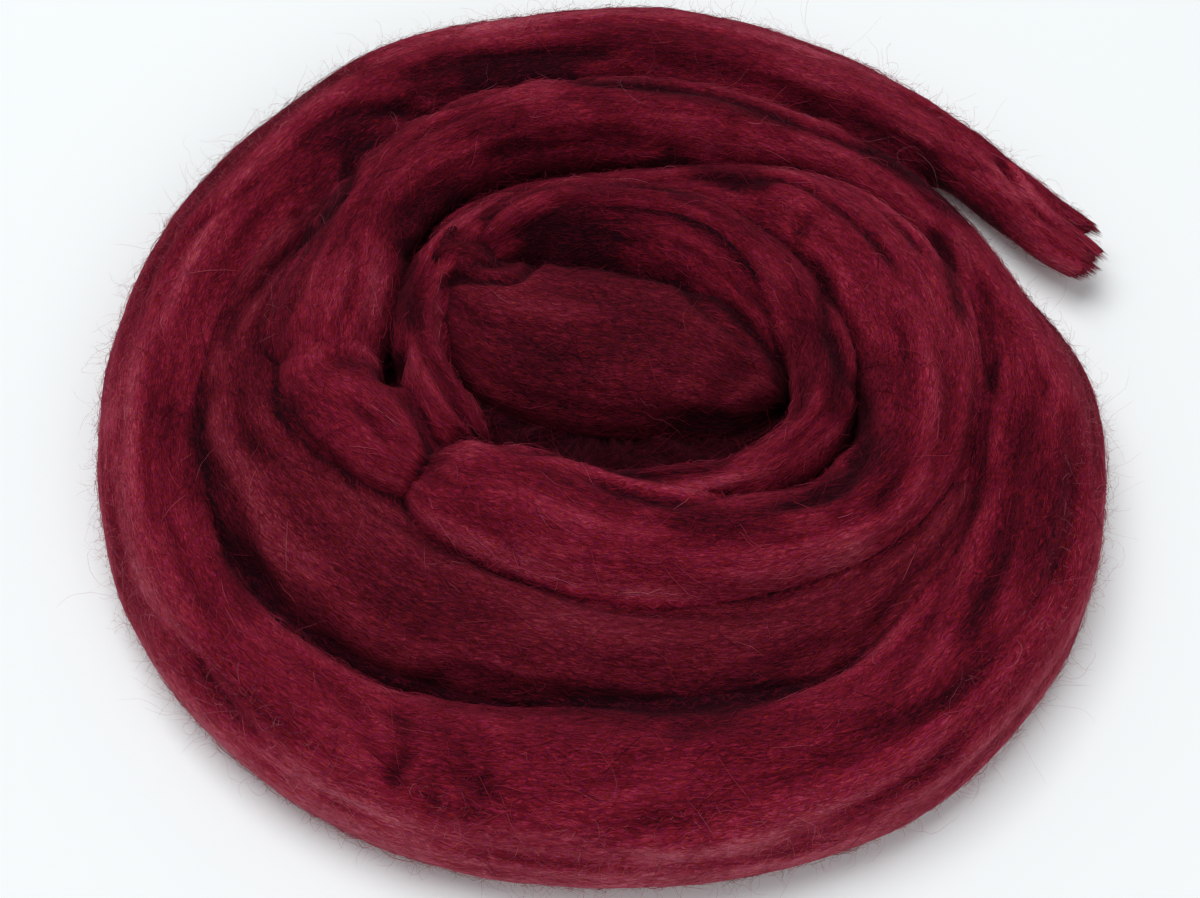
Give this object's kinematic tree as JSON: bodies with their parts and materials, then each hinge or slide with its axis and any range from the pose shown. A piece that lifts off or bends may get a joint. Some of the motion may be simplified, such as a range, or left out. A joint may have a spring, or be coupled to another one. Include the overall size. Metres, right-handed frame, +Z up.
{
  "type": "wool roving",
  "caption": "Flat soft coil of crimson wool roving, wound inward from a loose cut end, with folds and a pinched knuckle, lying on its underside.",
  "frame": {"origin": "centre of the coil's bounding box in plan, on the surface that it lies on", "axes": "+Z up through the coil, -Y towards the broad front folds, the loose cut end at +X +Y"},
  "size_m": [0.2258, 0.2304, 0.0311],
  "materials": {
    "wool": "matte combed wool fibre, crimson"
  },
  "bodies": {
    "root": {"roving": "wool"}
  },
  "joints": []
}
